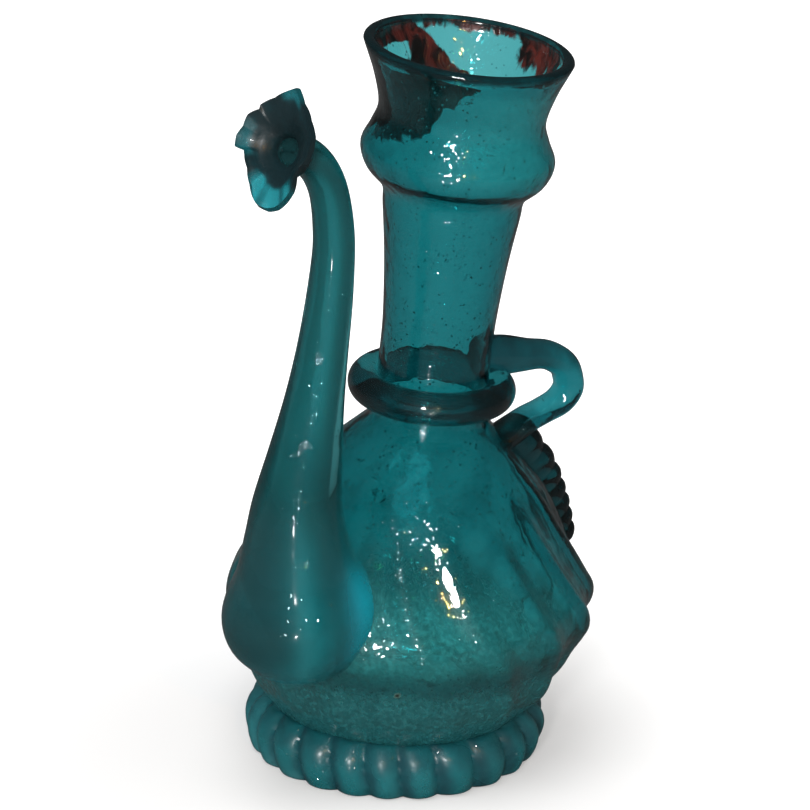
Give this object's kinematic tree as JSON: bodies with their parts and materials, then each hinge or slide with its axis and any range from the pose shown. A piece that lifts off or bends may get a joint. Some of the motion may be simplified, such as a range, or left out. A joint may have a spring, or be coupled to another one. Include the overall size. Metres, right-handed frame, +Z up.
{
  "type": "glass ewer",
  "caption": "Blown glass ewer with a ribbed bulb, tall knopped neck, pincered foot, slender spout with a petalled mouth and a small looped handle.",
  "frame": {"origin": "under the middle of the bounding box, on the table that the foot stands on", "axes": "+Z up; the spout points along -X and the handle's side is +X"},
  "size_m": [0.1604, 0.126, 0.2546],
  "materials": {
    "blown_glass": "clear teal blown glass, glossy, with small bubbles and a few brown streaks",
    "thick_glass": "thick teal glass, glossy, nearly black where it is deepest",
    "spout_glass": "clear teal glass, drawn lengthwise, softly glossy",
    "rough_glass": "broken teal glass, dull"
  },
  "bodies": {
    "root": {"vessel": "blown_glass", "neck_ring": "thick_glass", "foot": "thick_glass", "pontil_scar": "rough_glass", "spout": "spout_glass", "spout_mouth": "spout_glass", "handle": "thick_glass", "handle_tail": "thick_glass"}
  },
  "joints": []
}
